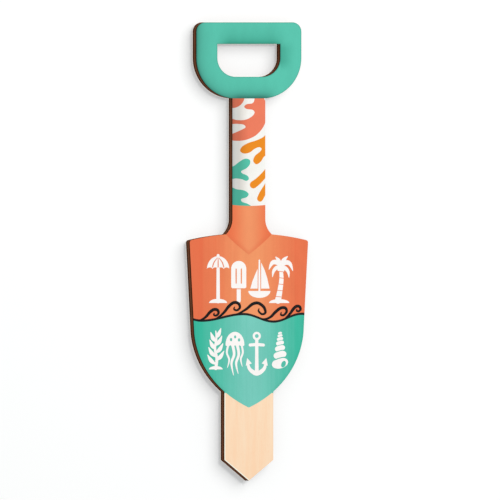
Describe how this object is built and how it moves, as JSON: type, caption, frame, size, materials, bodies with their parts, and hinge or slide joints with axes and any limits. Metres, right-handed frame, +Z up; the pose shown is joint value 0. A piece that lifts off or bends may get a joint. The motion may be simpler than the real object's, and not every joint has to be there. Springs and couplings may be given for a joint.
{
  "type": "garden stake",
  "caption": "Flat wooden garden stake shaped like a toy spade, with a D handle, a shaft, a pointed printed blade and a bare pointed stake below it.",
  "frame": {"origin": "tip of the printed blade, half way through the board: the height of the soil once the bare stake is pushed in", "axes": "+X across the board to the right as seen from the front, -Y the way the printed face looks, +Z up along the shaft"},
  "size_m": [0.0814, 0.0099, 0.3048],
  "materials": {
    "charred_core": "laser-cut fibreboard edge, charred dark brown",
    "veneer": "sanded pale maple veneer, fine straight grain, toasted at the cut edge",
    "handle_ink": "satin teal cured ink with darker printed shading",
    "shaft_ink": "satin off-white cured ink with a coral, orange and teal leaf pattern",
    "socket_ink": "satin orange-coral cured ink, lighter down the middle",
    "sky_ink": "satin coral cured ink, lighter down the middle",
    "waterline_ink": "satin black cured ink",
    "sea_ink": "satin teal cured ink, lighter down the middle"
  },
  "bodies": {
    "root": {"core_board": "charred_core", "front_veneer": "veneer", "back_veneer": "veneer", "handle_print": "handle_ink", "shaft_print": "shaft_ink", "socket_print": "socket_ink", "sky_print": "sky_ink", "waterline_print": "waterline_ink", "sea_print": "sea_ink"}
  },
  "joints": []
}
